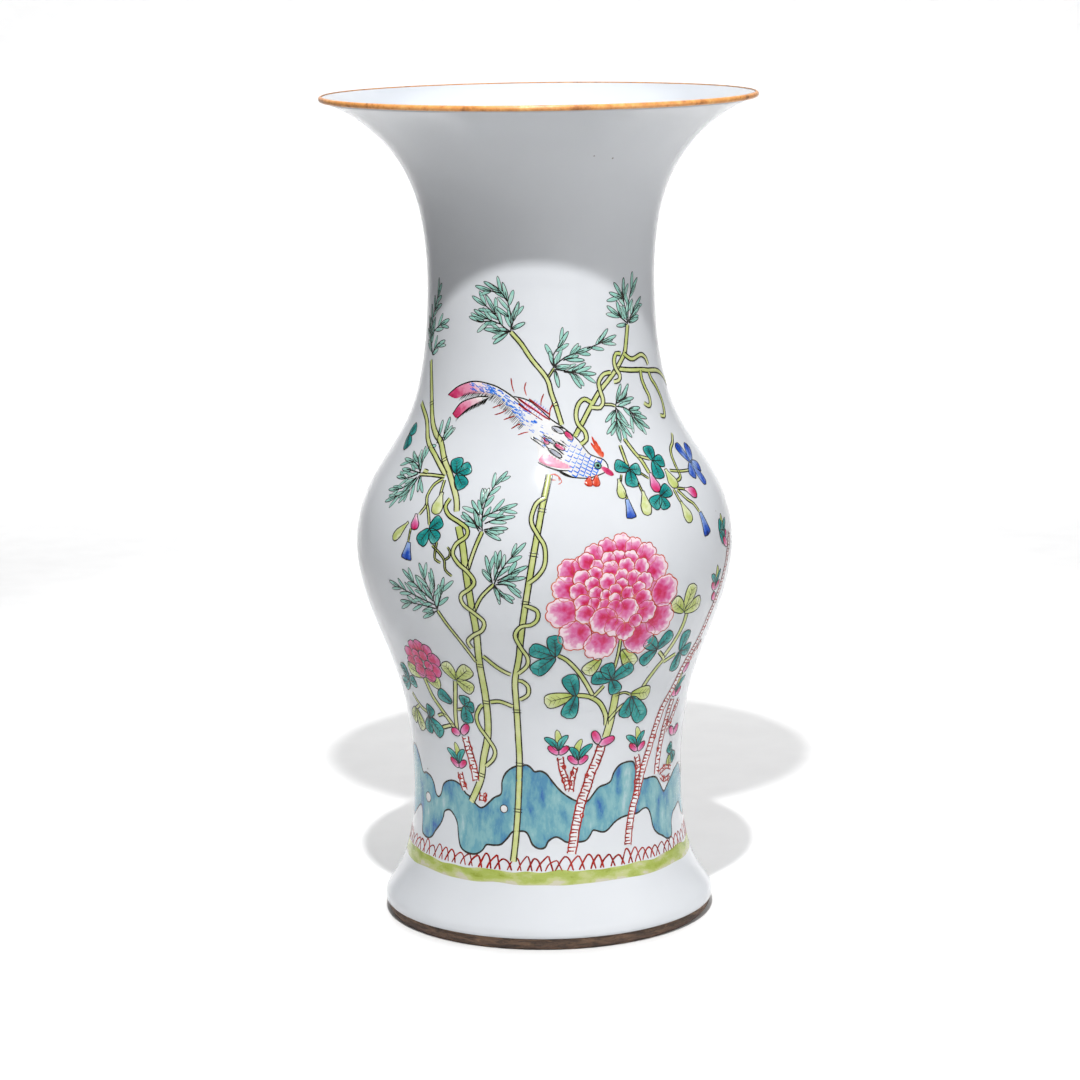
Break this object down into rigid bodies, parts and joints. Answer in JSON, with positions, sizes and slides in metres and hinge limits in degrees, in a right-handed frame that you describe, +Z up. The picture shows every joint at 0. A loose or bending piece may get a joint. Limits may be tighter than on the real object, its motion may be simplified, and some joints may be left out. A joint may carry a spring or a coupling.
{
  "type": "porcelain vase",
  "caption": "Tall porcelain vase with a flared trumpet mouth, swollen belly and spreading foot, painted in raised enamels; holds flowers or stands as a display piece.",
  "frame": {"origin": "centre of the flat resting face under the foot ring", "axes": "+Z up along the turning axis, from the resting face to the mouth; -Y is the side with the peony and the pheasant"},
  "size_m": [0.2356, 0.2356, 0.45],
  "materials": {
    "porcelain_clay": "fired white porcelain body, fine matt grain, hidden under the glaze",
    "luting_slip": "fired porcelain slip, matt",
    "bare_foot": "unglazed turned biscuit, stained dark brown, worn and slightly rough",
    "clear_glaze": "glossy bluish white feldspathic glaze with slight waviness and kiln specks",
    "rim_brown": "orange brown iron dressing, satin, mottled",
    "grass_enamel": "translucent yellow green overglaze enamel, glossy, blotched",
    "rock_enamel": "turquoise and blue overglaze enamel, glossy, brushed mottling with black outlines",
    "pink_enamel": "opaque rose enamel shaded to white, glossy, slightly raised",
    "bird_enamel": "blue, pink, black and iron red enamels, glossy, slightly raised"
  },
  "bodies": {
    "root": {"neck_section": "porcelain_clay", "belly_section": "porcelain_clay", "foot_section": "porcelain_clay", "upper_luting_seam": "luting_slip", "lower_luting_seam": "luting_slip", "base_disc": "porcelain_clay", "foot_ring": "bare_foot", "outer_glaze": "clear_glaze", "inner_glaze": "clear_glaze", "base_glaze": "clear_glaze", "rim_dressing": "rim_brown", "grass_band_enamel": "grass_enamel", "rock_band_enamel": "rock_enamel", "peony_enamel": "pink_enamel", "pheasant_enamel": "bird_enamel"}
  },
  "joints": []
}
